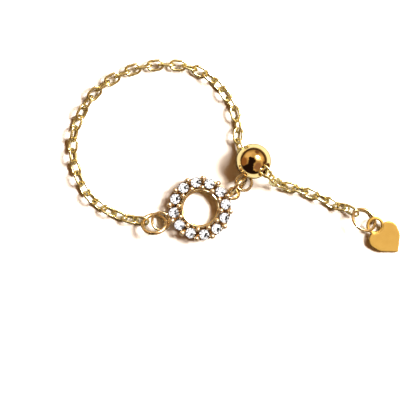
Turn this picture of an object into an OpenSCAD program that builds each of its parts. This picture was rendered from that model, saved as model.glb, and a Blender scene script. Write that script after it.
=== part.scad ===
// Adjustable chain ring, lying open on a table: a round halo of set stones,
// a fine cable chain that closes the loop through a slider ball, and a tail with a heart tag.
// Millimetres, +Z up, origin under the middle of the whole piece, table at z = 0.

/* [Stones and halo] */
// Width of each stone across its girdle
stone_d = 1.2; // [1:0.05:1.3]
// Space between neighbouring stones
stone_gap = 0.35; // [0.25:0.05:0.45]
// Height of a stone's crown above its girdle
crown_h = 0.2; // [0.15:0.01:0.25]
// Depth of a stone below its girdle
pavilion_h = 0.52; // [0.45:0.01:0.55]
// Height of the stones' girdles above the table
girdle_z = 1.3; // [1.2:0.05:1.5]
// Clearance between a stone and the metal that holds it
set_gap = 0.05; // [0.03:0.01:0.07]
// Diameter of the beads outside the stones
outer_bead_d = 0.62; // [0.5:0.02:0.7]
// Diameter of the beads inside the stones
inner_bead_d = 0.54; // [0.46:0.02:0.6]
// Thickness of the posts under the beads
post_d = 0.36; // [0.3:0.02:0.42]
// Thickness of the ring plate under the stones
plate_t = 0.5; // [0.4:0.05:0.6]
// Width of the smooth rim round the open middle
rim_w = 0.38; // [0.3:0.02:0.46]
// Height of that rim
rim_h = 1.05; // [0.8:0.05:1.1]

/* [Eyes of the halo] */
// Height of both soldered eyes above the table
eye_z = 0.85; // [0.82:0.01:0.88]
// Outer diameter of the left eye
left_eye_d = 2.3; // [2.1:0.05:2.4]
// Outer diameter of the right eye
right_eye_d = 1.54; // [1.5:0.02:1.7]
// Wire of both eyes
eye_wire = 0.32; // [0.26:0.02:0.34]
// Width of the solder that joins an eye to the halo
solder_w = 0.44; // [0.3:0.02:0.6]

/* [Jump rings] */
// Outer diameter of the left jump ring
left_ring_d = 3.1; // [3:0.05:3.2]
// Wire of the left jump ring
left_ring_wire = 0.45; // [0.36:0.01:0.47]
// Outer diameter of the right jump ring
right_ring_d = 2.6; // [2.55:0.05:2.8]
// Wire of the right jump ring
right_ring_wire = 0.42; // [0.36:0.01:0.44]
// Outer diameter of the end jump ring
end_ring_d = 3.15; // [3:0.05:3.3]
// Wire of the end jump ring
end_ring_wire = 0.38; // [0.32:0.01:0.42]
// Least play between a jump ring and the eye that it hangs in
ring_play = 0.08; // [0.05:0.01:0.1]

/* [Slider ball] */
// Diameter of the slider ball
ball_d = 4; // [3.8:0.1:4.4]
// Diameter of the bore through the ball, where it holds the stopper core
bore_d = 2.2; // [2:0.05:2.4]
// Diameter of the bore's two mouths
mouth_d = 1.7; // [1.66:0.02:1.8]
// Length of the narrow part at each mouth
mouth_l = 0.42; // [0.36:0.02:0.5]
// Width of the chamfer round each mouth
mouth_chamfer = 0.08; // [0.04:0.01:0.12]
// Outer diameter of the ring soldered to the ball
ball_ring_d = 2.1; // [2:0.05:2.3]
// Wire of the ring soldered to the ball
ball_ring_wire = 0.32; // [0.26:0.01:0.34]
// Height of that ring above the table
ball_ring_z = 1.25; // [1.22:0.01:1.4]
// How deep that ring is sunk into the ball at its solder
ball_ring_sink = 0.24; // [0.16:0.02:0.3]
// Clearance between the stopper core and the ball's bore
core_gap = 0.04; // [0.02:0.01:0.08]
// Clearance between the chain and the stopper core, all round
core_play = 0.14; // [0.1:0.01:0.18]

/* [Chain] */
// Length of a chain link
link_l = 2.02; // [1.98:0.01:2.16]
// Width of a chain link
link_w = 1.35; // [1.28:0.01:1.38]
// Thickness of a link's wire
link_wire = 0.29; // [0.24:0.01:0.3]
// Play between neighbouring links
link_play = 0.14; // [0.12:0.01:0.16]

/* [Heart tag] */
// Width of the heart
heart_w = 3.7; // [3.5:0.1:4]
// Length from the middle of the heart's eye to its tip
heart_reach = 3.95; // [3.85:0.05:4.3]
// Thickness of the heart
heart_t = 0.45; // [0.36:0.01:0.5]
// Width of the bevel round the heart's face
heart_bevel = 0.12; // [0.05:0.01:0.16]
// Outer diameter of the heart's eye
heart_eye_d = 2.05; // [1.95:0.05:2.3]
// Wire of the heart's eye
heart_eye_wire = 0.36; // [0.3:0.01:0.4]
// Height of the heart's eye above the table
heart_eye_z = 0.74; // [0.68:0.01:0.8]

/* [Hidden] */
stone_count = 12;
stone_names = [for (i = [1 : stone_count]) str("stone_", i < 10 ? "0" : "", i)];

gold = [0.86, 0.66, 0.3];
clear_stone = [0.93, 0.95, 0.96];
silicone = [0.75, 0.7, 0.62];
round_fn = 48;

// Halo: the stones stand in a circle, and the beads fill the corners between them
halo_at = [-3.64, -5.91];
first_stone_a = 9;
stone_a = 360 / stone_count;
stone_ring_r = (stone_d + stone_gap) / 2 / sin(stone_a / 2);
function bead_ring_r(bead_d, side) =
    let (reach = (stone_d + bead_d) / 2 + set_gap, half_step = (stone_d + stone_gap) / 2)
    stone_ring_r * cos(stone_a / 2) + side * sqrt(reach * reach - half_step * half_step);
outer_bead_r = bead_ring_r(outer_bead_d, 1);
inner_bead_r = bead_ring_r(inner_bead_d, -1);
bead_lift = 0.05;
bead_z = girdle_z + bead_lift;
plate_lip = 0.05;
plate_r = outer_bead_r + plate_lip;
rim_lap = 0.045;
rim_out_r = inner_bead_r - post_d / 2 + rim_lap;
hole_r = rim_out_r - rim_w;
culet_z = girdle_z - pavilion_h;
seat_slope = stone_d / 2 / pavilion_h;
seat_z = culet_z - set_gap * sqrt(1 + 1 / (seat_slope * seat_slope));
cup_r = 0.38 * stone_d;
cup_z = girdle_z - 0.48 * pavilion_h;

// Eyes: each is a flat wire ring on a short solder neck at the halo's edge
left_eye_a = 198;
right_eye_a = first_stone_a + stone_a / 2;
left_neck_l = 0.06;
left_eye_r = outer_bead_r + left_eye_d / 2 + left_neck_l;
right_eye_sink = 0.06;
right_eye_r = outer_bead_r + right_eye_d / 2 - right_eye_sink;
function on_halo(r, a) = [halo_at[0] + r * cos(a), halo_at[1] + r * sin(a), eye_z];
left_eye_at = on_halo(left_eye_r, left_eye_a);
right_eye_at = on_halo(right_eye_r, right_eye_a);

// A jump ring leans on the table: its level axis has a bearing, and its plane is tilted about it.
// A place on its wire is given by the angle from the level axis.
function level_way(bearing) = [cos(bearing), sin(bearing), 0];
function slope_way(bearing, tilt) = [-sin(bearing) * cos(tilt), cos(bearing) * cos(tilt), sin(tilt)];
function mid_r(d, wire) = (d - wire) / 2;
function wire_place(r, bearing, tilt, a) =
    r * (cos(a) * level_way(bearing) + sin(a) * slope_way(bearing, tilt));
function lean_z(r, wire, tilt) = wire / 2 + r * abs(sin(tilt));
function angle_at(r, wire, tilt, z) = asin((z - lean_z(r, wire, tilt)) / (r * sin(tilt)));
function flat_place(p) = [p[0], p[1], 0];

// Left jump ring: hangs in the left eye, and its far side holds the first link
left_bearing = 7;
left_tilt = -37;
left_r = mid_r(left_ring_d, left_ring_wire);
left_hold_a = 150;
left_in_eye = left_eye_at
    + (left_eye_d / 2 - eye_wire - left_ring_wire / 2 - ring_play) * level_way(left_bearing);
left_eye_place = wire_place(left_r, left_bearing, left_tilt,
    angle_at(left_r, left_ring_wire, left_tilt, eye_z));
left_at = flat_place(left_in_eye - left_eye_place) + [0, 0, lean_z(left_r, left_ring_wire, left_tilt)];

// Right jump ring: stands almost upright between the right eye and the ball's ring
right_bearing = 48;
right_tilt = 78;
right_r = mid_r(right_ring_d, right_ring_wire);
right_eye_place = wire_place(right_r, right_bearing, right_tilt,
    180 - angle_at(right_r, right_ring_wire, right_tilt, eye_z));
right_at = flat_place(right_eye_at - right_eye_place)
    + [0, 0, lean_z(right_r, right_ring_wire, right_tilt)];
right_far = right_at + wire_place(right_r, right_bearing, right_tilt,
    angle_at(right_r, right_ring_wire, right_tilt, ball_ring_z));

// Ball: its soldered ring is level, and the chain goes up through the bore
ball_way = 65.7;
ball_r = ball_d / 2;
ball_ring_reach = sqrt(ball_r * ball_r - (ball_r - ball_ring_z) * (ball_r - ball_ring_z))
    + ball_ring_d / 2 - ball_ring_sink;
ball_ring_at = right_far
    - (ball_ring_d / 2 - ball_ring_wire - right_ring_wire / 2 - ring_play) * level_way(ball_way);
ball_at = flat_place(ball_ring_at + ball_ring_reach * level_way(ball_way)) + [0, 0, ball_r];
bore_bearing = -40;
bore_rise = 28;
bore_way = [cos(bore_bearing) * cos(bore_rise), sin(bore_bearing) * cos(bore_rise), sin(bore_rise)];
mouth_r = sqrt(ball_r * ball_r - mouth_d * mouth_d / 4);
bore_l = 2 * (mouth_r - mouth_l);
core_d = bore_d - 2 * core_gap;
core_bore_d = link_w + 2 * core_play;
core_l = bore_l - 2 * core_gap;

// End jump ring: leans the other way, and holds the heart tag
tail_end = [12.53, -6.62];
end_bearing = -42;
end_tilt = -38;
end_r = mid_r(end_ring_d, end_ring_wire);
end_hold_a = 184;
end_at = [ball_at[0] + tail_end[0], ball_at[1] + tail_end[1], lean_z(end_r, end_ring_wire, end_tilt)];
heart_slack = 0.1;
heart_way = -49;
heart_eye_in = end_at + wire_place(end_r, end_bearing, end_tilt,
    angle_at(end_r, end_ring_wire, end_tilt, heart_eye_z));
heart_eye_at = flat_place(heart_eye_in + heart_slack * level_way(heart_way)) + [0, 0, heart_eye_z];
heart_dip = asin((heart_eye_z - heart_t / 2) / heart_reach);

// Chain route: chosen points of the loop, then of the climb to the ball and of the tail after it,
// which are measured from the ball's middle and, upwards, from the table
loop_route = [[-11.8, -7.1], [-13.4, -6.5], [-15.0, -5.6], [-16.5, -4.2], [-17.5, -2.2],
    [-18.1, 0.2], [-17.9, 2.8], [-17.0, 5.1], [-15.6, 7.2], [-13.4, 8.9], [-10.8, 10.0],
    [-8.0, 10.4], [-5.2, 10.2], [-2.7, 9.1], [-0.9, 7.3], [0.3, 5.2]];
entry_route = [[-1.7, 3.6, 0.5], [-1.75, 2.3, 0.75]];
tail_route = [[2.08, -1.99, 2.61], [2.48, -2.32, 1.78], [2.96, -2.68, 1], [3.74, -2.84, 0.62],
    [5.16, -3.18, 0.5], [7.9, -4.22, 0.5], [9.6, -5.15, 0.5], [10.9, -5.35, 0.95]];
// Roll of the chain about its own length, by the share of the way along it
chain_rolls = [[0, 45], [0.1, 45], [0.18, 56], [0.24, 60], [0.31, 27], [0.36, 14], [0.48, 8], [0.53, 25],
    [0.6, 60], [0.7, 62], [0.78, 32], [0.85, 30], [0.92, 30], [0.97, 42], [1, 50]];
// Height that the links are lifted off the table, so that none dips where the roll changes
chain_lift = 0.014;
// Length that the chain has to spare, as a share, and the share of the route that each share of
// the links covers: they are pushed together at the ball
chain_slack = 0.03;
chain_spacing = [[0, 0], [0.69, 0.707], [0.87, 0.868], [1, 1]];
pitch = link_l - 2 * link_wire - link_play;
// The end links reach over thicker wire, so the route starts and ends inside the jump rings
function wire_inset(wire) = pitch / 2 - (link_l / 2 - link_wire - wire / 2 - link_play);
function hold_place(at, r, wire, bearing, tilt, a) =
    at + wire_place(r - wire_inset(wire), bearing, tilt, a);
chain_start = hold_place(left_at, left_r, left_ring_wire, left_bearing, left_tilt, left_hold_a);
chain_end = hold_place(end_at, end_r, end_ring_wire, end_bearing, end_tilt, end_hold_a);
function by_ball(p) = [ball_at[0] + p[0], ball_at[1] + p[1], p[2]];
route = concat([chain_start], [for (p = loop_route) [p[0], p[1], 0]],
    [for (p = entry_route) by_ball(p)],
    [for (s = [-mouth_r, -mouth_r / 3, mouth_r / 3, mouth_r]) ball_at + s * bore_way],
    [for (p = tail_route) by_ball(p)], [chain_end]);

// A smooth curve through the route, measured along its length
route_steps = 8;
function curve_place(p, i, t) =
    let (n = len(p) - 1, a = p[max(i - 1, 0)], b = p[i], c = p[min(i + 1, n)], d = p[min(i + 2, n)])
    (2 * b + (c - a) * t + (2 * a - 5 * b + 4 * c - d) * t * t
        + (3 * b - a - 3 * c + d) * t * t * t) / 2;
curve = concat([for (i = [0 : len(route) - 2], k = [0 : route_steps - 1])
    curve_place(route, i, k / route_steps)], [chain_end]);
curve_s = [for (i = 0, s = 0; i < len(curve);
    s = s + (i + 1 < len(curve) ? norm(curve[i + 1] - curve[i]) : 0), i = i + 1) s];
chain_l = curve_s[len(curve) - 1];
link_count = 2 * round(chain_l * (1 + chain_slack) / pitch / 2);
function along(s) = [for (axis = [0 : 2])
    lookup(s, [for (i = [0 : len(curve) - 1]) [curve_s[i], curve[i][axis]]])];
function base_roll(share) = lookup(share, chain_rolls);
function lying_z(roll) =
    link_wire / 2 + chain_lift + (link_w - link_wire) / 2 * max(abs(sin(roll)), abs(cos(roll)));
joints = [for (k = [0 : link_count])
    let (share = k / link_count, p = along(lookup(share, chain_spacing) * chain_l))
    [p[0], p[1], max(p[2], lying_z(base_roll(share)))]];

// Link: a wire of few sides swept round a flat oval
link_sides = 6;
link_arc_steps = 5;
function oval(l, w, steps) = [for (half = [0, 1], j = [0 : steps])
    let (a = -90 + 180 * (half + j / steps), end = (1 - 2 * half) * (l - w) / 2)
    [end + w / 2 * cos(a), w / 2 * sin(a), a]];

module halo_prong(r, a, bead_d) {
    translate([r * cos(a), r * sin(a), 0]) {
        cylinder(h = bead_z, d = post_d, $fn = round_fn);
        translate([0, 0, bead_z]) sphere(d = bead_d, $fn = round_fn);
    }
}

module stone_cup(a) {
    translate([stone_ring_r * cos(a), stone_ring_r * sin(a), 0]) difference() {
        translate([0, 0, plate_t / 2]) cylinder(h = cup_z - plate_t / 2, r = cup_r, $fn = round_fn);
        translate([0, 0, seat_z])
            cylinder(h = pavilion_h, r1 = 0, r2 = pavilion_h * seat_slope, $fn = round_fn);
    }
}

module halo_rim() {
    difference() {
        cylinder(h = rim_h - rim_w / 2, r = rim_out_r, $fn = 2 * round_fn);
        translate([0, 0, -1]) cylinder(h = rim_h + 2, r = hole_r, $fn = 2 * round_fn);
    }
    translate([0, 0, rim_h - rim_w / 2]) rotate_extrude($fn = 2 * round_fn)
        translate([(hole_r + rim_out_r) / 2, 0]) circle(d = rim_w, $fn = round_fn);
}

module wire_ring(d, wire) {
    rotate_extrude($fn = 2 * round_fn)
        translate([mid_r(d, wire), 0]) circle(d = wire, $fn = round_fn);
}

module solder_neck(a, reach) {
    rotate([0, 0, a]) translate([outer_bead_r - post_d, -solder_w / 2, eye_z - eye_wire])
        cube([reach - outer_bead_r + post_d, solder_w, eye_wire * 1.3]);
}

module halo_setting() {
    color(gold) union() {
        translate([halo_at[0], halo_at[1], 0]) {
            difference() {
                cylinder(h = plate_t, r = plate_r, $fn = 2 * round_fn);
                translate([0, 0, -1])
                    cylinder(h = plate_t + 2, r = (hole_r + rim_out_r) / 2, $fn = 2 * round_fn);
            }
            halo_rim();
            for (i = [0 : stone_count - 1]) {
                stone_cup(first_stone_a + i * stone_a);
                halo_prong(outer_bead_r, first_stone_a + (i + 0.5) * stone_a, outer_bead_d);
                halo_prong(inner_bead_r, first_stone_a + (i + 0.5) * stone_a, inner_bead_d);
            }
            solder_neck(left_eye_a, left_eye_r - left_eye_d / 2 + eye_wire / 2);
            solder_neck(right_eye_a, right_eye_r - right_eye_d / 2 + eye_wire / 2);
        }
        translate(left_eye_at) wire_ring(left_eye_d, eye_wire);
        translate(right_eye_at) wire_ring(right_eye_d, eye_wire);
    }
}

// Round cut: an eight-sided table, a belt of star and kite facets, and a pointed pavilion
module stone(i) {
    a = first_stone_a + i * stone_a;
    girdle_t = 0.04;
    table_share = 0.56;
    belt_share = 0.82;
    color(clear_stone)
        translate([halo_at[0] + stone_ring_r * cos(a), halo_at[1] + stone_ring_r * sin(a), girdle_z])
            rotate([0, 0, a]) hull() {
                translate([0, 0, crown_h]) rotate([0, 0, 22.5])
                    cylinder(h = 0.001, d = stone_d * table_share, $fn = 8);
                translate([0, 0, crown_h * 0.55])
                    cylinder(h = 0.001, d = stone_d * belt_share, $fn = 8);
                translate([0, 0, -girdle_t / 2])
                    cylinder(h = girdle_t, d = stone_d, $fn = 16);
                translate([0, 0, -pavilion_h])
                    cylinder(h = 0.001, d = 0.02, $fn = 8);
            }
}

module jump_ring(at, d, wire, bearing, tilt) {
    color(gold) translate(at) rotate([0, 0, bearing]) rotate([tilt, 0, 0]) wire_ring(d, wire);
}

module left_jump_ring() {
    jump_ring(left_at, left_ring_d, left_ring_wire, left_bearing, left_tilt);
}

module right_jump_ring() {
    jump_ring(right_at, right_ring_d, right_ring_wire, right_bearing, right_tilt);
}

module end_jump_ring() {
    jump_ring(end_at, end_ring_d, end_ring_wire, end_bearing, end_tilt);
}

// Everything inside is laid along the bore, which points to +Z here
module along_bore() {
    translate(ball_at) rotate([0, 0, bore_bearing]) rotate([0, 90 - bore_rise, 0]) children();
}

module slider_ball() {
    color(gold) union() {
        difference() {
            translate(ball_at) sphere(d = ball_d, $fn = 2 * round_fn);
            along_bore() {
                translate([0, 0, -bore_l / 2])
                    cylinder(h = bore_l, d = bore_d, $fn = 2 * round_fn);
                translate([0, 0, -ball_r - 1])
                    cylinder(h = ball_d + 2, d = mouth_d, $fn = 2 * round_fn);
                for (side = [0, 1]) mirror([0, 0, side]) translate([0, 0, mouth_r - mouth_chamfer])
                    cylinder(h = 3 * mouth_chamfer, r1 = mouth_d / 2,
                        r2 = mouth_d / 2 + 3 * mouth_chamfer, $fn = 2 * round_fn);
            }
        }
        translate(flat_place(ball_ring_at) + [0, 0, ball_ring_z])
            wire_ring(ball_ring_d, ball_ring_wire);
    }
}

module stopper_core() {
    color(silicone) along_bore() difference() {
        translate([0, 0, -core_l / 2]) cylinder(h = core_l, d = core_d, $fn = 2 * round_fn);
        translate([0, 0, -core_l]) cylinder(h = 2 * core_l, d = core_bore_d, $fn = 2 * round_fn);
    }
}

module chain_link() {
    path = oval(link_l - link_wire, link_w - link_wire, link_arc_steps);
    n = len(path);
    points = [for (q = path, m = [0 : link_sides - 1])
        let (a = 360 * (m + 0.5) / link_sides, out = link_wire / 2 * cos(a))
        [q[0] + out * cos(q[2]), q[1] + out * sin(q[2]), link_wire / 2 * sin(a)]];
    faces = [for (k = [0 : n - 1], m = [0 : link_sides - 1])
        let (next = (k + 1) % n, up = (m + 1) % link_sides)
        [k * link_sides + m, k * link_sides + up, next * link_sides + up, next * link_sides + m]];
    polyhedron(points, faces);
}

module chain() {
    color(gold) for (k = [0 : link_count - 1]) {
        from = joints[k];
        way = joints[k + 1] - from;
        roll = base_roll((k + 0.5) / link_count) - (k % 2 == 0 ? 90 : 0);
        translate(from + way / 2)
            rotate([0, -asin(way[2] / norm(way)), atan2(way[1], way[0])])
                rotate([roll, 0, 0]) chain_link();
    }
}

// Half of the heart, with its length along +X from the eye and its width along +Y
module heart_half() {
    lobe_r = heart_w * 0.28;
    belly_r = heart_w * 0.345;
    hull() {
        heart_corner([0.36 * heart_reach, heart_w / 2 - lobe_r], lobe_r);
        heart_corner([0.475 * heart_reach, 0.11 * heart_w], belly_r);
        heart_corner([heart_reach - 1.2 * heart_bevel, 0], 1.2 * heart_bevel);
    }
}

module heart_corner(place, r) {
    translate([place[0], place[1], 0]) {
        cylinder(h = heart_t - 2 * heart_bevel, r = r, center = true, $fn = 32);
        cylinder(h = heart_t, r = r - heart_bevel, center = true, $fn = 32);
    }
}

module heart_tag() {
    color(gold) translate(heart_eye_at) rotate([0, 0, heart_way]) rotate([0, heart_dip, 0]) union() {
        difference() {
            for (side = [0, 1]) mirror([0, side, 0]) heart_half();
            cylinder(h = 4 * heart_t, r = heart_eye_d / 2 - heart_eye_wire / 2,
                center = true, $fn = 2 * round_fn);
        }
        wire_ring(heart_eye_d, heart_eye_wire);
    }
}

halo_setting();
for (i = [0 : stone_count - 1]) stone(i);
left_jump_ring();
right_jump_ring();
slider_ball();
stopper_core();
chain();
end_jump_ring();
heart_tag();
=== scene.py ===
"""An adjustable chain ring laid open on a white card: a round halo of twelve set stones, a fine cable
chain that closes the loop through a polished slider ball, and a tail of chain with a heart tag."""

import math

import bmesh
import bpy
import numpy as np
from mathutils import Matrix, Vector


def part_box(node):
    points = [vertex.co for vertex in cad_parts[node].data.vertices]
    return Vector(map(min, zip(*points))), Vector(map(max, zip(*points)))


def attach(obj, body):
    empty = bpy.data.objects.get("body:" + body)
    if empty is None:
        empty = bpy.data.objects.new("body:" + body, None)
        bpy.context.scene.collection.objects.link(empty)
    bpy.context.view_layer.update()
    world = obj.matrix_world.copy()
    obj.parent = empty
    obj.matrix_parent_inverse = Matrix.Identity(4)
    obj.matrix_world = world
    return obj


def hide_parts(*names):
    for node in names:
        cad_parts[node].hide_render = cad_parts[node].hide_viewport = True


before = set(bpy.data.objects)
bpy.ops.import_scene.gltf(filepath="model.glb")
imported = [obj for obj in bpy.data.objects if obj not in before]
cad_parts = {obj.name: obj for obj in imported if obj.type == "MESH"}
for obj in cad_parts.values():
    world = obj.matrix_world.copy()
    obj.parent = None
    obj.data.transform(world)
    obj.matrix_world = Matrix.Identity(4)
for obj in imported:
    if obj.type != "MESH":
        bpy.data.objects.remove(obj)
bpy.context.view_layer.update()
scene = bpy.context.scene
mm = 0.001

# View
# The photograph looks almost straight down through a long lens, from about half a metre,
# and its frame is 45.5 mm wide at the table.
view_middle = Vector((-3.64, -4.94, 0)) * mm
view_width = 45.45 * mm
view_distance = 0.5
view_elevation = math.radians(89)
film_width = 36

camera_data = bpy.data.cameras.new("camera")
camera_data.sensor_width = film_width
camera_data.lens = film_width * view_distance / view_width
camera = bpy.data.objects.new("camera", camera_data)
scene.collection.objects.link(camera)
view_back = Vector((0, -math.cos(view_elevation), math.sin(view_elevation)))
camera.location = view_middle + view_back * view_distance
camera.rotation_euler = (-view_back).to_track_quat("-Z", "Y").to_euler()
scene.camera = camera
scene.view_settings.view_transform = "Standard"
scene.view_settings.gamma = 0.8

# Card
# The ring lies on a sheet of smooth white card. Its colour as seen in the polished metal is painted: a
# dimmer white, a painted brown table a little outside the view, and painted shade where the metal is
# close to it, broken by a thin band of a painted lighter tone.
card_half = 150 * mm
card_drop = 0.015 * mm
card_white = (0.93, 0.93, 0.93, 1)
painted_far_reflection = (0.45, 0.505, 0.54, 1)
painted_table_reflection = (0.1, 0.071, 0.05, 1)
painted_contact_shade = (0.076, 0.046, 0.02, 1)
painted_near_light = (0.38, 0.39, 0.3, 1)
painted_shade_reach = 4 * mm
painted_near_steps = ((0, painted_contact_shade), (0.07, painted_contact_shade), (0.16, painted_near_light), (0.3, painted_contact_shade),
              (0.42, painted_contact_shade), (1, painted_far_reflection))
painted_table_edge = (25 * mm, 28 * mm)


def wire_up(tree, node, inputs):
    """Sets a node's plain inputs, and links the ones that come from another node."""
    for socket, value in inputs.items():
        if isinstance(value, bpy.types.NodeSocket):
            tree.links.new(value, node.inputs[socket])
        else:
            node.inputs[socket].default_value = value


def put_node(tree, kind, inputs=None, **settings):
    """Adds a node, with its settings and its inputs."""
    node = tree.nodes.new(kind)
    for name, value in settings.items():
        setattr(node, name, value)
    wire_up(tree, node, inputs or {})
    return node


def blended(tree, share, first, second, how="MIX"):
    """A colour that goes from the first to the second as the share goes from 0 to 1."""
    return put_node(tree, "ShaderNodeMix", {"Factor": share, "A": first, "B": second},
                    data_type="RGBA", blend_type=how).outputs["Result"]


def spread(tree, value, low, high, to_low=0, to_high=1, how="LINEAR"):
    """A number from to_low to to_high, by where the value stands between low and high."""
    return put_node(tree, "ShaderNodeMapRange", {"Value": value, "From Min": low, "From Max": high,
                                                 "To Min": to_low, "To Max": to_high},
                    interpolation_type=how).outputs["Result"]


def tone_scale(tree, share, steps, how="LINEAR"):
    """A colour off a scale of steps, each a place from 0 to 1 and its colour."""
    scale = put_node(tree, "ShaderNodeValToRGB", {"Fac": share})
    scale.color_ramp.interpolation = how
    marks = scale.color_ramp.elements
    marks[0].position, marks[0].color = steps[0]
    marks[1].position, marks[1].color = steps[-1]
    for share, colour in steps[1:-1]:
        marks.new(share).color = colour
    return scale.outputs["Color"]


def clouds(tree, place, scale, detail, kind="Fac"):
    """A soft random pattern, as a number or as a colour."""
    noise = put_node(tree, "ShaderNodeTexNoise", {"Vector": place, "Scale": scale, "Detail": detail})
    return noise.outputs[kind]


def relief(tree, height, depth, strength, over=None):
    """A surface raised and lowered by a pattern, on top of another relief if one is given."""
    inputs = {"Height": height, "Distance": depth, "Strength": strength}
    if over:
        inputs["Normal"] = over
    return put_node(tree, "ShaderNodeBump", inputs).outputs["Normal"]


def blank_finish(name):
    """A new material, with its node tree and its shader."""
    finish = bpy.data.materials.new(name)
    finish.use_nodes = True
    return finish, finish.node_tree, finish.node_tree.nodes["Principled BSDF"]


card_paint, tree, shader = blank_finish("white_card")
place = put_node(tree, "ShaderNodeTexCoord").outputs["Object"]
ray = put_node(tree, "ShaderNodeLightPath").outputs
out_from_middle = put_node(tree, "ShaderNodeVectorMath", {0: place, 1: view_middle},
                           operation="DISTANCE").outputs["Value"]
# Painted reflection and painted shade: glossy rays see the card dimmer, darker the shorter the ray from the
# metal, and brown past the painted table edge.
painted_near_tone = tone_scale(tree, spread(tree, ray["Ray Length"], 0, painted_shade_reach), painted_near_steps)
painted_reflection_tone = blended(tree, spread(tree, out_from_middle, *painted_table_edge), painted_near_tone, painted_table_reflection)
fibre = relief(tree, clouds(tree, place, 9000, 3), 0.01 * mm, 0.08)
wire_up(tree, shader, {"Base Color": blended(tree, ray["Is Glossy Ray"], card_white, painted_reflection_tone),
                       "Roughness": 0.6, "Specular IOR Level": 0.2, "Normal": fibre})

bm = bmesh.new()
bmesh.ops.create_grid(bm, x_segments=1, y_segments=1, size=card_half)
bmesh.ops.translate(bm, verts=bm.verts, vec=(0, 0, -card_drop))
card_mesh = bpy.data.meshes.new("card")
bm.to_mesh(card_mesh)
bm.free()
card_mesh.materials.append(card_paint)
card = bpy.data.objects.new("card", card_mesh)
scene.collection.objects.link(card)

# Lamps
# A softbox and a side lamp at the right light the card and throw soft shadows to the left. Polished
# metal shows only a smaller lamp between them, as one bright star.
lamp_far = 0.4
lamp_white = (1, 0.95, 0.88)
# Bearing from the right and rise from the table in degrees, width in metres, power, and what it does.
lamps = {"softbox": (13, 46, 0.16, 3.8, "lights the card"),
         "side_lamp": (45, 45, 0.15, 1.15, "lights the card"),
         "small_lamp": (45, 51, 0.085, 2.6, "shows in the metal")}


def facing(bearing, rise):
    """The way to a place in the room, by its bearing from the right and its rise from the table."""
    bearing, rise = math.radians(bearing), math.radians(rise)
    return Vector((math.cos(rise) * math.cos(bearing), math.cos(rise) * math.sin(bearing), math.sin(rise)))


for name, (bearing, rise, width, power, use) in lamps.items():
    lamp_data = bpy.data.lights.new(name, "AREA")
    lamp_data.shape = "DISK"
    lamp_data.size = width
    lamp_data.energy = power
    lamp_data.color = lamp_white
    lamp = bpy.data.objects.new(name, lamp_data)
    lamp.location = facing(bearing, rise) * lamp_far
    lamp.rotation_euler = facing(bearing, rise).to_track_quat("Z", "Y").to_euler()
    lamp.visible_glossy = use == "shows in the metal"
    lamp.visible_diffuse = use == "lights the card"
    scene.collection.objects.link(lamp)

# Room
# Polished metal shows the room: a dark rim at the level of the table, amber walls, a dark shape at the
# lower left and the glow of the lamps. Warm light fills the shadows, and the stones gather a bright,
# broken light of their own.
wall_tones = ((0, (0.05, 0.028, 0.014, 1)), (0.12, (0.1, 0.055, 0.025, 1)), (0.3, (0.52, 0.34, 0.18, 1)),
              (0.55, (0.78, 0.56, 0.33, 1)), (0.955, (0.58, 0.4, 0.22, 1)), (0.985, (0.05, 0.022, 0.012, 1)),
              (1, (0.04, 0.018, 0.01, 1)))
# Each patch has its bearing, rise, reach and blur in degrees, and its tone.
wall_patches = ((132, 38, 34, 22, (0.86, 0.62, 0.38)), (185, 25, 34, 18, (0.36, 0.17, 0.075)),
                (68, 22, 20, 12, (0.26, 0.13, 0.07)), (20, 34, 24, 14, (0.9, 0.62, 0.34)),
                (-12, 12, 18, 10, (0.17, 0.075, 0.04)), (-50, 42, 32, 14, (0.38, 0.22, 0.16)))
dark_blur = 6
dark_tone = (0.03, 0.013, 0.009)
dark_shape = ((135, 68, 19), (205, 70, 22), (236, 54, 24), (240, 36, 29), (236, 16, 30), (262, 10, 22),
              (282, 2, 15))
glows = ((38, 56, 24, 20, (2.3, 2.2, 2.1)), (10, 42, 7, 5, (1.6, 1.35, 1.0)))
waver_reach = Vector((0.5, 0.5, 0.3))
sparkle_steps = ((0, (0.01, 0.01, 0.015, 1)), (0.4, (0.32, 0.29, 0.28, 1)), (0.46, (0.75, 0.58, 0.34, 1)),
                 (0.51, (1.6, 1.58, 1.58, 1)))
shadow_fill = (0.25, 0.11, 0.03, 1)
pale_wall = (0.85, 0.84, 0.83, 1)


def chord(degrees):
    """The straight distance between two directions that are so many degrees apart."""
    return 2 * math.sin(math.radians(degrees) / 2)


room = bpy.data.worlds.new("room")
scene.world = room
room.use_nodes = True
tree = room.node_tree
outward = put_node(tree, "ShaderNodeTexCoord").outputs["Generated"]
wavering = put_node(tree, "ShaderNodeVectorMath", {0: clouds(tree, outward, 2.2, 2, "Color"), 1: waver_reach,
                                                   2: outward}, operation="MULTIPLY_ADD").outputs["Vector"]
height = put_node(tree, "ShaderNodeSeparateXYZ", {"Vector": outward}).outputs["Z"]
mirrored_room = tone_scale(tree, height, wall_tones)
for bearing, rise, reach, blur, colour in (
        *wall_patches, *((*spot, dark_blur, dark_tone) for spot in dark_shape), *glows):
    off = put_node(tree, "ShaderNodeVectorMath", {0: wavering, 1: facing(bearing, rise) + waver_reach / 2},
                   operation="DISTANCE").outputs["Value"]
    inside = spread(tree, off, chord(reach), chord(max(reach - blur, 0)), how="SMOOTHSTEP")
    mirrored_room = blended(tree, inside, mirrored_room, (*colour, 1))
broken = put_node(tree, "ShaderNodeTexVoronoi", {"Vector": outward, "Scale": 6}).outputs["Color"]
broken_share = put_node(tree, "ShaderNodeSeparateColor", {"Color": broken}).outputs["Red"]
sparkle = tone_scale(tree, broken_share, sparkle_steps, how="CONSTANT")
ray = put_node(tree, "ShaderNodeLightPath").outputs
light = shadow_fill
for kind, shown in (("Is Glossy Ray", mirrored_room), ("Is Transmission Ray", sparkle),
                    ("Is Camera Ray", pale_wall)):
    light = blended(tree, ray[kind], light, shown)
wire_up(tree, tree.nodes["Background"], {"Color": light})
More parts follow.
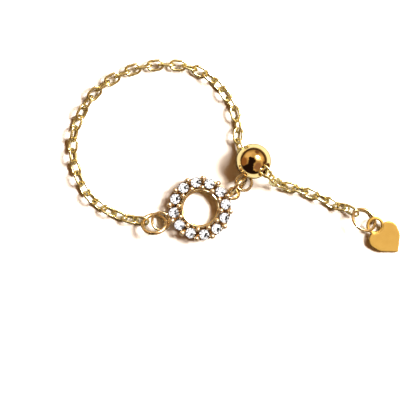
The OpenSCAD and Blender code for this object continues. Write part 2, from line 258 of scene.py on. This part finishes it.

# Plated gold
# All the metal is brass with a thick plating of yellow gold: a mirror on the ball, softer on the wires
# and the halo, and satin on the heart. The group gives its uneven tone and polish, its faint ripple and
# fine grain, and a painted shade that darkens the metal below the rim's height, in the depths between
# the stones.
painted_shade_low, painted_shade_high = 0.5 * mm, 0.85 * mm
untinted = (1, 1, 1, 1)

plating = bpy.data.node_groups.new("plating", "ShaderNodeTree")
for name, kind in {"Pale": "Color", "Deep": "Color", "Painted Shade": "Color", "Polish": "Float", "Haze": "Float",
                   "Ripple": "Float", "Grain": "Float"}.items():
    plating.interface.new_socket(name, in_out="INPUT", socket_type="NodeSocket" + kind)
for name, kind in {"Color": "Color", "Roughness": "Float", "Normal": "Vector"}.items():
    plating.interface.new_socket(name, in_out="OUTPUT", socket_type="NodeSocket" + kind)
given = put_node(plating, "NodeGroupInput").outputs
place = put_node(plating, "ShaderNodeTexCoord").outputs["Object"]
tone = blended(plating, clouds(plating, place, 900, 3), given["Pale"], given["Deep"])
height = put_node(plating, "ShaderNodeSeparateXYZ", {"Vector": place}).outputs["Z"]
# Painted shade: the colour is darkened towards the given tone below 0.85 mm, fully below 0.5 mm.
shade = blended(plating, spread(plating, height, painted_shade_low, painted_shade_high), given["Painted Shade"], untinted)
haze = put_node(plating, "ShaderNodeMath", {0: clouds(plating, place, 2500, 6), 1: given["Haze"],
                                            2: given["Polish"]}, operation="MULTIPLY_ADD")
ripple = relief(plating, clouds(plating, place, 1800, 1), 0.03 * mm, given["Ripple"])
wire_up(plating, put_node(plating, "NodeGroupOutput"), {
    "Color": blended(plating, 1, tone, shade, how="MULTIPLY"), "Roughness": haze.outputs["Value"],
    "Normal": relief(plating, clouds(plating, place, 16000, 4), 0.004 * mm, given["Grain"], ripple)})


def gold_finish(name, pale, deep, polish, haze, ripple, grain, painted_shade=untinted):
    """Gold plating from the shared group, with its own tones and polish, and painted shade in its depths
    where a darker tone is given.
    """
    metal, tree, shader = blank_finish(name)
    coat = put_node(tree, "ShaderNodeGroup", {
        "Pale": pale, "Deep": deep, "Painted Shade": painted_shade, "Polish": polish, "Haze": haze, "Ripple": ripple,
        "Grain": grain}, node_tree=plating).outputs
    wire_up(tree, shader, {"Metallic": 1, "Base Color": coat["Color"], "Roughness": coat["Roughness"],
                           "Normal": coat["Normal"]})
    return metal


mirror_gold = gold_finish("mirror_gold", (1, 0.85, 0.49, 1), (0.95, 0.73, 0.33, 1),
                          polish=0.03, haze=0.06, ripple=0.05, grain=0.1)
wire_gold = gold_finish("wire_gold", (1, 0.88, 0.6, 1), (0.94, 0.73, 0.43, 1),
                        polish=0.2, haze=0.12, ripple=0.2, grain=0.3)
many_cornered = 9


def take_shape(name, bm, finish, slot, *stands_for, crease=35):
    """Turns a mesh in the making into a piece that stands for nodes of the part."""
    bmesh.ops.recalc_face_normals(bm, faces=bm.faces)
    mesh = bpy.data.meshes.new(name)
    bm.to_mesh(mesh)
    bm.free()
    mesh.shade_smooth()
    mesh.set_sharp_from_angle(angle=math.radians(crease))
    for side in mesh.polygons:
        side.use_smooth = len(side.vertices) < many_cornered
    mesh.materials.append(finish)
    piece = bpy.data.objects.new(name, mesh)
    scene.collection.objects.link(piece)
    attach(piece, "root")
    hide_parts(*stands_for)
    return piece


# Halo frame
# A flat ring plate carries the stones, and a smooth round rim stands up along its inner edge.
# Both are one casting, turned here from its cross-section, and the rim's inner wall takes a finish of
# its own without the painted shade, so it stays bright.
halo_middle = Vector((-3.64, -5.91, 0)) * mm
plate_t = 0.5 * mm
plate_r = 3.509 * mm
plate_edge = 0.07 * mm
rim_h = 1.05 * mm
rim_w = 0.38 * mm
hole_r = 1.882 * mm
rim_out_r = hole_r + rim_w
round_steps = 96
# Painted shade for the depths between the stones, multiplied into the metal below the rim's height.
painted_recess_shade = (0.5, 0.34, 0.2, 1)
halo_gold = gold_finish("halo_gold", (1, 0.94, 0.74, 1), (1, 0.87, 0.6, 1),
                        polish=0.2, haze=0.1, ripple=0.1, grain=0.2, painted_shade=painted_recess_shade)
rim_gold_without_painted_shade = gold_finish("rim_gold_without_painted_shade", (1, 0.88, 0.58, 1), (0.97, 0.76, 0.42, 1),
                       polish=0.22, haze=0.12, ripple=0.1, grain=0.2)


def turn(bm, corners, place, steps=round_steps):
    """Spins a closed cross-section of (reach, height) corners all the way round the place's Z axis."""
    ring = [bm.verts.new(place @ Vector((reach, 0, height))) for reach, height in corners]
    edges = [bm.edges.new((a, b)) for a, b in zip(ring, ring[1:] + ring[:1])]
    bmesh.ops.spin(bm, geom=ring + edges, cent=place.translation, axis=place.col[2].to_3d(),
                   angle=math.tau, steps=steps, use_merge=True)


def arc(middle, r, start, end, steps=4):
    """Corners along an arc, by its start and end angles in degrees."""
    angles = [math.radians(start + (end - start) * k / steps) for k in range(steps + 1)]
    return [(middle[0] + r * math.cos(a), middle[1] + r * math.sin(a)) for a in angles]


bm = bmesh.new()
turn(bm, arc((hole_r + rim_w / 2, rim_h - rim_w / 2), rim_w / 2, 180, 0, 16)
     + arc((rim_out_r + plate_edge, plate_t + plate_edge), plate_edge, 180, 270)
     + arc((plate_r - plate_edge, plate_t - plate_edge), plate_edge, 90, 0)
     + arc((plate_r - plate_edge, plate_edge), plate_edge, 0, -90)
     + arc((hole_r + plate_edge, plate_edge), plate_edge, 270, 180), Matrix.Translation(halo_middle))
halo_frame = take_shape("halo_frame", bm, halo_gold, "plated_gold", "halo_setting")
# The rim's inner wall takes the finish without painted shade.
halo_frame.data.materials.append(rim_gold_without_painted_shade)
for side in halo_frame.data.polygons:
    side.material_index = (side.center - halo_middle).xy.length < hole_r + rim_w / 2

# Collets
# Under each stone a small cup rises from the plate, hollowed to a cone in which the stone's
# point rests.
stone_count = 12
first_stone = 9
stone_d = 1.2 * mm
stone_gap = 0.35 * mm
stone_ring_r = (stone_d + stone_gap) / 2 / math.sin(math.pi / stone_count)
girdle_z = 1.3 * mm
pavilion_h = 0.52 * mm
cup_r = 0.38 * stone_d
cup_foot = plate_t - 0.1 * mm
cup_top = girdle_z - 0.48 * pavilion_h
cup_lip = 0.06 * mm
lip_bevel = Vector((0.03, 0.04)) * mm
seat_bottom = girdle_z - pavilion_h - 0.077 * mm
seat_r = 0.02 * mm


def stone_turn(number):
    """The angle of a stone, or with a half number of the gap after it, round the halo."""
    return math.radians(first_stone + number * 360 / stone_count)


def round_the_halo(angle, r, height=0):
    return halo_middle + Vector((r * math.cos(angle), r * math.sin(angle), height))


bm = bmesh.new()
for number in range(stone_count):
    turn(bm, [(seat_r, cup_foot), (cup_r, cup_foot), (cup_r, cup_top - lip_bevel.y),
              (cup_r - lip_bevel.x, cup_top), (cup_r - cup_lip, cup_top), (seat_r, seat_bottom)],
         Matrix.Translation(round_the_halo(stone_turn(number), stone_ring_r)), steps=32)
take_shape("halo_collets", bm, halo_gold, "plated_gold", "halo_setting")

# Beads
# The stones share 24 round-headed grains: one outside and one inside each gap between two
# stones. Each is a post that ends in a ball, close beside the stones that it holds.
post_r = 0.18 * mm
post_foot = 0.1 * mm
bead_z = 1.35 * mm
# How far each row stands from the halo's middle, and how wide its balls are.
bead_rows = ((3.459 * mm, 0.62 * mm), (2.397 * mm, 0.54 * mm))
# The bead posts take the painted shade too, below the rim's height.
bead_gold = gold_finish("bead_gold", (1, 0.88, 0.68, 1), (1, 0.83, 0.58, 1),
                        polish=0.3, haze=0.1, ripple=0.2, grain=0.3, painted_shade=painted_recess_shade)

bm = bmesh.new()
for number in range(stone_count):
    for r, bead_d in bead_rows:
        stand = round_the_halo(stone_turn(number + 0.5), r)
        bmesh.ops.create_cone(bm, cap_ends=True, segments=24, radius1=post_r, radius2=post_r,
                              depth=bead_z - post_foot,
                              matrix=Matrix.Translation(stand + Vector((0, 0, (bead_z + post_foot) / 2))))
        bmesh.ops.create_uvsphere(bm, u_segments=32, v_segments=20, radius=bead_d / 2,
                                  matrix=Matrix.Translation(stand + Vector((0, 0, bead_z))))
take_shape("halo_beads", bm, bead_gold, "plated_gold", "halo_setting")

# Eyes
# Two flat rings of wire are soldered to the halo's edge, a larger one at the left and a smaller
# one at the upper right. The solder leaves a short soft neck.
eye_z = 0.85 * mm
eye_wire = 0.32 * mm
# Each eye's bearing in degrees, its diameter, and its gap from the outer row of beads.
eyes = ((198, 2.3 * mm, 0.06 * mm), (24, 1.54 * mm, -0.06 * mm))
neck_w = 0.44 * mm
neck_t = 1.15 * eye_wire
neck_drop = 0.05 * mm
neck_round = 0.12 * mm
neck_in = plate_r - 0.4 * mm
neck_lap = 0.6 * eye_wire
wire_sides = 20
cut_round = 0.06


def verts_in(parts):
    return [part for part in parts if isinstance(part, bmesh.types.BMVert)]


def edges_in(parts):
    return [part for part in parts if isinstance(part, bmesh.types.BMEdge)]


def edges_at(verts):
    """The edges that meet at the corners given, each one once."""
    return list(dict.fromkeys(edge for vert in verts for edge in vert.link_edges))


def round_off(bm, edges, width, steps):
    bmesh.ops.bevel(bm, geom=edges, offset=width, segments=steps, affect="EDGES", profile=0.5, material=-1)


def wire_ring(bm, d, wire, place, cut=0):
    """A ring of round wire, flat in its place; a cut leaves it open by that many degrees at its start."""
    section = bmesh.ops.create_circle(bm, segments=wire_sides, radius=wire / 2, matrix=place
                                      @ Matrix.Translation(((d - wire) / 2, 0, 0))
                                      @ Matrix.Rotation(math.pi / 2, 4, "X"))["verts"]
    edges = edges_at(section)
    spun = bmesh.ops.spin(bm, geom=section + edges, cent=place.translation, axis=place.col[2].to_3d(),
                          angle=math.tau - math.radians(cut), steps=round_steps, use_merge=not cut)
    if cut:
        caps = [cap for end in (edges, edges_in(spun["geom_last"]))
                for cap in bmesh.ops.edgeloop_fill(bm, edges=end)["faces"]]
        round_off(bm, [edge for cap in caps for edge in cap.edges], wire * cut_round, 2)


bm = bmesh.new()
for bearing, d, gap in eyes:
    angle = math.radians(bearing)
    reach = bead_rows[0][0] + d / 2 + gap
    wire_ring(bm, d, eye_wire, Matrix.Translation(round_the_halo(angle, reach, eye_z)))
    neck_out = reach - d / 2 + neck_lap
    neck = bmesh.ops.create_cube(bm, size=1, matrix=Matrix.Translation(halo_middle)
                                 @ Matrix.Rotation(angle, 4, "Z")
                                 @ Matrix.Translation(((neck_in + neck_out) / 2, 0, eye_z - neck_drop))
                                 @ Matrix.Diagonal((neck_out - neck_in, neck_w, neck_t, 1)))["verts"]
    round_off(bm, edges_at(neck), neck_round, 5)
take_shape("halo_eyes", bm, wire_gold, "plated_gold", "halo_setting")

# Stones
# Twelve clear round stones, cut as brilliants: a flat table with star, kite and girdle facets round
# it above, and mains and halves that run to a point below. Each facet is one plane cut, as on a lap.
crown_h = 0.2 * mm
girdle_t = 0.04 * mm
table_r = 0.56 * stone_d / 2
hair = 1e-8
star_slope = math.radians(22)
mains, halves, girdle_sides = 8, 16, 48
crown_halves_steeper = math.radians(7)
pavilion_halves_steeper = math.radians(1.5)
turn_per_stone = 0.37

clear_stone, tree, shader = blank_finish("clear_stone")
place = put_node(tree, "ShaderNodeTexCoord").outputs["Object"]
feather = clouds(tree, place, 3500, 2)
wire_up(tree, shader, {"Transmission Weight": 1, "IOR": 2.16,
                       "Base Color": blended(tree, feather, untinted, (0.93, 0.96, 1, 1)),
                       "Roughness": spread(tree, feather, 0, 1, to_high=0.03)})


def cut_facet(bm, slope, turn_to, depth):
    """Grinds one facet: slope is from level, and more than upright below; depth is from the middle."""
    normal = Vector((math.sin(slope) * math.cos(turn_to), math.sin(slope) * math.sin(turn_to),
                     math.cos(slope)))
    cut = bmesh.ops.bisect_plane(bm, geom=bm.verts[:] + bm.edges[:] + bm.faces[:],
                                 plane_co=normal * depth, plane_no=normal, clear_outer=True, dist=hair)
    rim = edges_in(cut["geom_cut"])
    if rim:
        bmesh.ops.edgenet_fill(bm, edges=rim)


def girdle_facets(bm, slope, count, start, below=False):
    """A row of facets that all meet the girdle's edge."""
    flip = math.pi - slope if below else slope
    for number in range(count):
        turn_to = start + number * math.tau / count
        cut_facet(bm, flip, turn_to, stone_d / 2 * math.sin(slope) + girdle_t / 2 * math.cos(slope))


def brilliant():
    """One cut stone, its girdle in the level plane."""
    bm = bmesh.new()
    bmesh.ops.create_cone(bm, cap_ends=True, segments=girdle_sides, radius1=stone_d / 2, radius2=stone_d / 2,
                          depth=2 * pavilion_h)
    eighth = math.tau / mains
    crown_slope = math.atan((crown_h - girdle_t / 2) / (stone_d / 2 - table_r))
    main_slope = math.atan((pavilion_h - girdle_t / 2) / (stone_d / 2))
    cut_facet(bm, 0, 0, crown_h)
    girdle_facets(bm, crown_slope, mains, 0)
    girdle_facets(bm, crown_slope + crown_halves_steeper, halves, eighth / 4)
    star_r = table_r * math.cos(eighth / 2)
    for number in range(mains):
        cut_facet(bm, star_slope, (number + 0.5) * eighth,
                  star_r * math.sin(star_slope) + crown_h * math.cos(star_slope))
    girdle_facets(bm, main_slope, mains, 0, below=True)
    girdle_facets(bm, main_slope + pavilion_halves_steeper, halves, eighth / 4, below=True)
    return bm


for number in range(stone_count):
    bm = brilliant()
    angle = stone_turn(number)
    bmesh.ops.transform(bm, verts=bm.verts,
                        matrix=Matrix.Translation(round_the_halo(angle, stone_ring_r, girdle_z))
                        @ Matrix.Rotation(angle + number * turn_per_stone, 4, "Z"))
    node = f"stone_{number + 1:02d}"
    take_shape(node + "_brilliant", bm, clear_stone, "clear_stone", node, crease=1)

# Jump rings
# Three rings of plain round wire, each bent nearly shut, with a hairline gap where it was cut:
# one from the left eye to the chain, one from the right eye to the ball, one from tail to heart.
cut_gap = 0.8
# Each ring's diameter and wire, its bearing and tilt in degrees, and the angle at which it was cut.
jump_rings = {
    "left_jump_ring": (3.1 * mm, 0.45 * mm, 7, -37, 250),
    "right_jump_ring": (2.6 * mm, 0.42 * mm, 48, 78, 265),
    "end_jump_ring": (3.15 * mm, 0.38 * mm, -42, -38, 60),
}


def node_middle(node):
    low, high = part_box(node)
    return (low + high) / 2


def leaning(node):
    """Where a jump ring stands: its middle, its bearing and its tilt."""
    bearing, tilt = (math.radians(a) for a in jump_rings[node][2:4])
    return (Matrix.Translation(node_middle(node)) @ Matrix.Rotation(bearing, 4, "Z")
            @ Matrix.Rotation(tilt, 4, "X"))


for node, (d, wire, bearing, tilt, cut_at) in jump_rings.items():
    bm = bmesh.new()
    wire_ring(bm, d, wire, leaning(node) @ Matrix.Rotation(math.radians(cut_at), 4, "Z"), cut=cut_gap)
    take_shape(node + "_wire", bm, wire_gold, "plated_gold", node)

# Slider ball
# A hollow polished ball with a bore across it for the chain. The bore narrows at both mouths, whose
# edges are rounded over, and a small ring of wire is soldered to the ball's side.
ball_middle = node_middle("stopper_core")
ball_r = 2 * mm
bore_r = 1.1 * mm
mouth_r = 0.85 * mm
mouth_l = 0.42 * mm
mouth_round = 0.07 * mm
bore_bearing = math.radians(-40)
bore_rise = math.radians(28)
ball_ring_d = 2.1 * mm
ball_ring_wire = 0.32 * mm
ball_ring_z = 1.25 * mm
ball_ring_lap = 0.24 * mm
ball_way = math.radians(65.7)
solder_r = 0.3 * mm
solder_reach = 0.95 * mm
solder_flat = 0.62
along_bore = (Matrix.Translation(ball_middle) @ Matrix.Rotation(bore_bearing, 4, "Z")
              @ Matrix.Rotation(math.pi / 2 - bore_rise, 4, "Y"))

mouth_half = math.sqrt(ball_r ** 2 - mouth_r ** 2)
bore_half = mouth_half - mouth_l
round_a = math.degrees(math.acos((mouth_r + mouth_round) / (ball_r - mouth_round)))
round_z = (ball_r - mouth_round) * math.sin(math.radians(round_a))
upper_mouth = (arc((mouth_r + mouth_round, round_z), mouth_round, round_a, 180, 8)[1:]
               + [(mouth_r, bore_half), (bore_r, bore_half)])
lower_mouth = [(reach, -along) for reach, along in reversed(upper_mouth)]
bm = bmesh.new()
turn(bm, arc((0, 0), ball_r, -round_a, round_a, 72) + upper_mouth + lower_mouth, along_bore, steps=128)
take_shape("slider_ball_shell", bm, mirror_gold, "plated_gold", "slider_ball", crease=50)

ball_ring_reach = math.sqrt(ball_r ** 2 - (ball_r - ball_ring_z) ** 2) + ball_ring_d / 2 - ball_ring_lap
ball_ring_at = Matrix.Translation((ball_middle.x - ball_ring_reach * math.cos(ball_way),
                                   ball_middle.y - ball_ring_reach * math.sin(ball_way), ball_ring_z))
bm = bmesh.new()
wire_ring(bm, ball_ring_d, ball_ring_wire, ball_ring_at)
bmesh.ops.create_uvsphere(bm, u_segments=24, v_segments=16, radius=solder_r, matrix=ball_ring_at
                          @ Matrix.Rotation(ball_way, 4, "Z") @ Matrix.Translation((solder_reach, 0, 0))
                          @ Matrix.Diagonal((1, 1, solder_flat, 1)))
take_shape("slider_ball_ring", bm, wire_gold, "plated_gold", "slider_ball")

# Stopper core
# A sleeve of cloudy silicone fills the ball's bore and grips the chain, so that the ball stays
# where it is slid.
core_r = 1.06 * mm
core_bore_r = 0.815 * mm
core_gap = 0.04 * mm
core_half = bore_half - core_gap
core_edge = 0.06 * mm

silicone, tree, shader = blank_finish("cloudy_silicone")
place = put_node(tree, "ShaderNodeTexCoord").outputs["Object"]
cloud = clouds(tree, place, 2200, 4)
wire_up(tree, shader, {"Subsurface Weight": 0.5, "Subsurface Radius": (0.3, 0.2, 0.12),
                       "Subsurface Scale": 0.6 * mm, "Roughness": spread(tree, cloud, 0, 1, 0.35, 0.6),
                       "Base Color": blended(tree, cloud, (0.16, 0.08, 0.045, 1), (0.26, 0.14, 0.08, 1))})

bm = bmesh.new()
turn(bm, arc((core_r - core_edge, core_half - core_edge), core_edge, 0, 90)
     + arc((core_bore_r + core_edge, core_half - core_edge), core_edge, 90, 180)
     + arc((core_bore_r + core_edge, -core_half + core_edge), core_edge, 180, 270)
     + arc((core_r - core_edge, -core_half + core_edge), core_edge, 270, 360), along_bore, steps=64)
take_shape("stopper_core_sleeve", bm, silicone, "silicone", "stopper_core")

# Chain
# Plain oval cable links of round wire, each hooked through the next, run from the left jump ring
# round the loop, up through the ball and down along the tail. The points are the part's own route.
link_l = 2.02 * mm
link_w = 1.35 * mm
link_wire = 0.29 * mm
link_play = 0.14 * mm
pitch = link_l - 2 * link_wire - link_play
loop_route = ((-11.8, -7.1), (-13.4, -6.5), (-15.0, -5.6), (-16.5, -4.2), (-17.5, -2.2), (-18.1, 0.2),
              (-17.9, 2.8), (-17.0, 5.1), (-15.6, 7.2), (-13.4, 8.9), (-10.8, 10.0), (-8.0, 10.4),
              (-5.2, 10.2), (-2.7, 9.1), (-0.9, 7.3), (0.3, 5.2))
entry_route = ((-1.7, 3.6, 0.5), (-1.75, 2.3, 0.75))
tail_route = ((2.08, -1.99, 2.61), (2.48, -2.32, 1.78), (2.96, -2.68, 1.0), (3.74, -2.84, 0.62),
              (5.16, -3.18, 0.5), (7.9, -4.22, 0.5), (9.6, -5.15, 0.5), (10.9, -5.35, 0.95))
# The roll of the links in degrees, and how far along the route they are, by their share of the chain.
rolls = ((0, 45), (0.1, 45), (0.18, 56), (0.24, 60), (0.31, 27), (0.36, 14), (0.48, 8), (0.53, 25),
         (0.6, 60), (0.7, 62), (0.78, 32), (0.85, 30), (0.92, 30), (0.97, 42), (1, 50))
spacing = ((0, 0), (0.69, 0.707), (0.87, 0.868), (1, 1))
chain_lift = 0.014 * mm
chain_slack = 0.03
hold_angles = {"left_jump_ring": 150, "end_jump_ring": 184}
bore_shares = (-1, -1 / 3, 1 / 3, 1)
curve_steps = 8
link_sides = link_end_steps = 14
chain_gold = gold_finish("chain_gold", (1, 0.93, 0.58, 1), (0.98, 0.85, 0.44, 1),
                         polish=0.22, haze=0.12, ripple=0.2, grain=0.3)


def hold_place(node):
    """Where the end joint of the chain lies in a jump ring, by the angle round its wire."""
    d, wire = jump_rings[node][:2]
    inset = pitch / 2 - (link_l / 2 - link_wire - wire / 2 - link_play)
    reach = (d - wire) / 2 - inset
    angle = math.radians(hold_angles[node])
    return leaning(node) @ Vector((reach * math.cos(angle), reach * math.sin(angle), 0))


def by_ball(point):
    return Vector((ball_middle.x, ball_middle.y, 0)) + Vector(point) * mm


bore_way = (along_bore.to_3x3() @ Vector((0, 0, 1))).normalized()
route = ([hold_place("left_jump_ring")] + [Vector((x, y, 0)) * mm for x, y in loop_route]
         + [by_ball(point) for point in entry_route]
         + [ball_middle + bore_way * mouth_half * share for share in bore_shares]
         + [by_ball(point) for point in tail_route] + [hold_place("end_jump_ring")])
curve = []
for k in range(len(route) - 1):
    a, b, c, d = (route[min(max(k + step, 0), len(route) - 1)] for step in (-1, 0, 1, 2))
    for t in (step / curve_steps for step in range(curve_steps)):
        curve.append((2 * b + (c - a) * t + (2 * a - 5 * b + 4 * c - d) * t ** 2
                      + (3 * b - a - 3 * c + d) * t ** 3) / 2)
curve.append(route[-1])
curve = np.array(curve)
curve_s = np.concatenate([[0], np.cumsum(np.linalg.norm(np.diff(curve, axis=0), axis=1))])
link_count = 2 * round(curve_s[-1] * (1 + chain_slack) / pitch / 2)


def base_roll(share):
    return math.radians(np.interp(share, *zip(*rolls)))


joints = []
for k in range(link_count + 1):
    share = k / link_count
    s = np.interp(share, *zip(*spacing)) * curve_s[-1]
    x, y, z = (np.interp(s, curve_s, curve[:, axis]) for axis in range(3))
    lean = max(abs(math.sin(base_roll(share))), abs(math.cos(base_roll(share))))
    joints.append(Vector((x, y, max(z, link_wire / 2 + chain_lift + (link_w - link_wire) / 2 * lean))))

bm = bmesh.new()
end_r = (link_w - link_wire) / 2
side_l = link_l - link_w
section = bmesh.ops.create_circle(
    bm, segments=link_sides, radius=link_wire / 2,
    matrix=Matrix.Translation((side_l / 2, -end_r, 0)) @ Matrix.Rotation(math.pi / 2, 4, "Y"))["verts"]
wire_end = section + edges_at(section)
for side in (1, -1):
    wire_end = bmesh.ops.spin(bm, geom=wire_end, cent=(side * side_l / 2, 0, 0), axis=(0, 0, 1),
                              angle=math.pi, steps=link_end_steps)["geom_last"]
    run = bmesh.ops.extrude_edge_only(bm, edges=edges_in(wire_end))["geom"]
    bmesh.ops.translate(bm, verts=verts_in(run), vec=(-side * side_l, 0, 0))
    wire_end = verts_in(run) + edges_in(run)
bmesh.ops.remove_doubles(bm, verts=bm.verts, dist=hair)
first_link = bm.verts[:] + bm.edges[:] + bm.faces[:]
for k in range(link_count):
    span = joints[k + 1] - joints[k]
    roll = base_roll((k + 0.5) / link_count) - (math.pi / 2 if k % 2 == 0 else 0)
    copy = bmesh.ops.duplicate(bm, geom=first_link)["geom"]
    bmesh.ops.transform(bm, verts=verts_in(copy),
                        matrix=Matrix.Translation((joints[k] + joints[k + 1]) / 2)
                        @ Matrix.Rotation(math.atan2(span.y, span.x), 4, "Z")
                        @ Matrix.Rotation(-math.asin(span.z / span.length), 4, "Y")
                        @ Matrix.Rotation(roll, 4, "X"))
bmesh.ops.delete(bm, geom=verts_in(first_link), context="VERTS")
take_shape("chain_links", bm, chain_gold, "plated_gold", "chain")

# Heart tag
# A stamped heart of plated sheet with a bevelled edge and a plain satin face. A round wire eye at its
# top hangs in the end jump ring.
heart_w = 3.7 * mm
heart_reach = 3.95 * mm
heart_t = 0.45 * mm
heart_bevel = 0.12 * mm
heart_eye_d = 2.05 * mm
heart_eye_wire = 0.36 * mm
heart_eye_z = 0.74 * mm
lobe_r, belly_r, tip_r = 0.28 * heart_w, 0.345 * heart_w, 1.2 * heart_bevel
lobe = Vector((0.36 * heart_reach, heart_w / 2 - lobe_r))
belly = Vector((0.475 * heart_reach, 0.11 * heart_w))
tip = Vector((heart_reach - tip_r, 0))
eye_steps, lobe_steps, side_steps = 14, 28, 18
same_point = 1e-7
heart_way = math.radians(-49)
heart_dip = math.asin((heart_eye_z - heart_t / 2) / heart_reach)

satin_gold = gold_finish("satin_gold", (0.54, 0.39, 0.125, 1), (0.47, 0.31, 0.09, 1),
                         polish=0.36, haze=0.16, ripple=0.12, grain=0.9)
satin_gold.node_tree.nodes["Principled BSDF"].inputs["Metallic"].default_value = 0.6


def tangent_turn(near, near_r, far, far_r):
    """The direction from each circle's middle to where one straight line touches both outsides."""
    across = far - near
    return math.atan2(across.y, across.x) + math.acos((near_r - far_r) / across.length)


def sweep_edge(bm, start, middle, angle, steps):
    """Draws an arc on from the last corner of the outline."""
    spun = bmesh.ops.spin(bm, geom=[start], cent=middle.to_3d(), axis=(0, 0, 1), angle=angle, steps=steps)
    return verts_in(spun["geom_last"])[0]


eye_r = (heart_eye_d - heart_eye_wire) / 2
lobe_far = lobe.length
meet_a = math.atan2(lobe.y, lobe.x) + math.acos((eye_r ** 2 + lobe_far ** 2 - lobe_r ** 2)
                                                 / (2 * eye_r * lobe_far))
meet = Vector((eye_r * math.cos(meet_a), eye_r * math.sin(meet_a)))
lobe_from = math.atan2(meet.y - lobe.y, meet.x - lobe.x) % math.tau
lobe_to = tangent_turn(lobe, lobe_r, belly, belly_r)
belly_to = tangent_turn(belly, belly_r, tip, tip_r)
bm = bmesh.new()
corner = bm.verts.new((eye_r, 0, 0))
corner = sweep_edge(bm, corner, Vector((0, 0)), meet_a, eye_steps)
corner = sweep_edge(bm, corner, lobe, lobe_to - lobe_from, lobe_steps)
for middle, r, start, end in ((belly, belly_r, lobe_to, belly_to), (tip, tip_r, belly_to, 0)):
    onward = bm.verts.new((middle.x + r * math.cos(start), middle.y + r * math.sin(start), 0))
    bm.edges.new((corner, onward))
    corner = sweep_edge(bm, onward, middle, end - start, side_steps)
bmesh.ops.mirror(bm, geom=bm.verts[:] + bm.edges[:], axis="Y", merge_dist=same_point)
bmesh.ops.remove_doubles(bm, verts=bm.verts, dist=same_point)
bmesh.ops.translate(bm, verts=bm.verts, vec=(0, 0, -heart_t / 2))
sheet_face = bmesh.ops.edgeloop_fill(bm, edges=bm.edges[:])["faces"]
raised = bmesh.ops.extrude_face_region(bm, geom=sheet_face)["geom"]
bmesh.ops.translate(bm, verts=verts_in(raised), vec=(0, 0, heart_t))
rims = [edge for edge in bm.edges if abs(edge.verts[0].co.z - edge.verts[1].co.z) < same_point]
round_off(bm, rims, heart_bevel, 3)
wire_ring(bm, heart_eye_d, heart_eye_wire, Matrix())
bmesh.ops.transform(bm, verts=bm.verts, matrix=Matrix.Rotation(heart_way, 4, "Z")
                    @ Matrix.Rotation(heart_dip, 4, "Y"))
low, high = (Vector([pick(vert.co[axis] for vert in bm.verts) for axis in range(3)]) for pick in (min, max))
bmesh.ops.translate(bm, verts=bm.verts, vec=node_middle("heart_tag") - (low + high) / 2)
take_shape("heart_tag_sheet", bm, satin_gold, "satin_gold", "heart_tag", crease=28)
